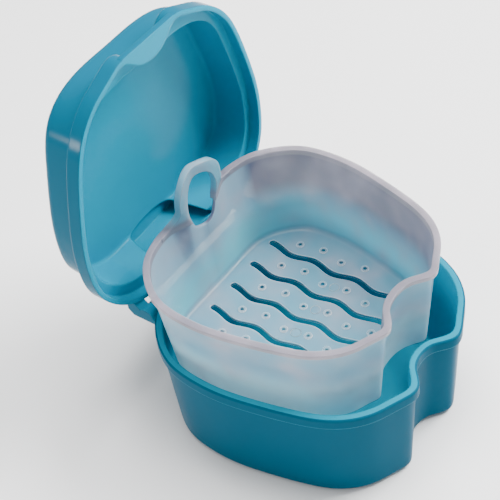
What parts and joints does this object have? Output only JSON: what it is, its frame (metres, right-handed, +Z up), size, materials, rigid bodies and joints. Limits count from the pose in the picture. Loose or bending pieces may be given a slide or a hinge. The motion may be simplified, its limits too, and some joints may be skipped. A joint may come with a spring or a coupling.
{
  "type": "denture case",
  "caption": "Hinged denture case: a tub with a thumb notch, a lift-out strainer tray with a loop handle, and a domed lid.",
  "frame": {"origin": "middle of the tub's resting face, on the surface that the case stands on", "axes": "+X across the case, +Y towards the hinge at the back, +Z up"},
  "size_m": [0.0898, 0.1143, 0.1272],
  "materials": {
    "tub_plastic": "glossy",
    "lid_plastic": "glossy",
    "tray_plastic": "frosted translucent"
  },
  "bodies": {
    "tub": {"tub": "tub_plastic"},
    "tray": {"tray": "tray_plastic"},
    "lid": {"lid": "lid_plastic"}
  },
  "joints": [
    {"name": "lid_hinge", "type": "hinge", "parent": "tub", "child": "lid", "pos_m": [0, 0.0469, 0.0373], "axis": [1, 0, 0], "range_deg": [0, 91.3]},
    {"name": "tray_lift", "type": "slide", "parent": "tub", "child": "tray", "axis": [0, -0.174, -0.9847], "range_m": [0, 0.02703]}
  ],
  "couplings": [
    {"joint": "tray_lift", "follows": "lid_hinge", "m_per_rad": 0.016952}
  ]
}
